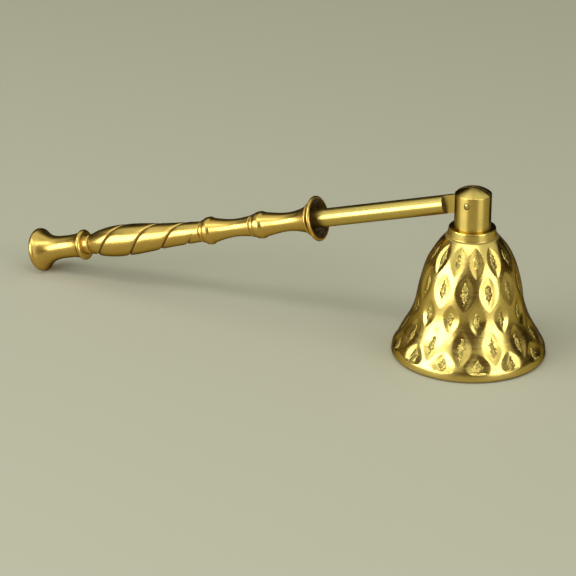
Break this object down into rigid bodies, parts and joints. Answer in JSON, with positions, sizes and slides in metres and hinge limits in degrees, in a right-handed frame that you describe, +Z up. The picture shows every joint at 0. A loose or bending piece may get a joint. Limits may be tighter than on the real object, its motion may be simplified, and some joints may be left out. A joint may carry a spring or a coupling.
{
  "type": "candle snuffer",
  "caption": "Brass candle snuffer with a dimpled bell hung from a slotted post and a long turned handle with a twisted grip that swings on a pin.",
  "frame": {"origin": "centre of the circle that the bell stands on, in the plane of its rim", "axes": "+Z up along the bell's axis, the handle leaves towards -X and tilts down to the same table, the pivot pin runs along Y"},
  "size_m": [0.1953, 0.052, 0.0591],
  "materials": {
    "bell_brass": "cast, polished high, stippled in the leaves",
    "turned_brass": "turned and polished",
    "rod_brass": "drawn bar, polished",
    "grip_brass": "carved spiral, satin polished",
    "pin_brass": "filed flush",
    "fastener_brass": "plain, dull",
    "stud_steel": "plain drawn steel"
  },
  "bodies": {
    "bell_head": {"bell": "bell_brass", "clevis_post": "turned_brass", "crown_washer": "fastener_brass", "crown_nut": "fastener_brass", "pivot_pin": "pin_brass"},
    "handle": {"rod": "rod_brass", "tie_stud": "stud_steel", "trumpet_socket": "turned_brass", "waist_link": "turned_brass", "spiral_grip": "grip_brass", "end_knob": "turned_brass"}
  },
  "joints": [
    {"name": "handle_pivot", "type": "hinge", "parent": "bell_head", "child": "handle", "pos_m": [0, 0, 0.0541], "axis": [0, 1, 0], "range_deg": [-11.5, 222.5]}
  ]
}
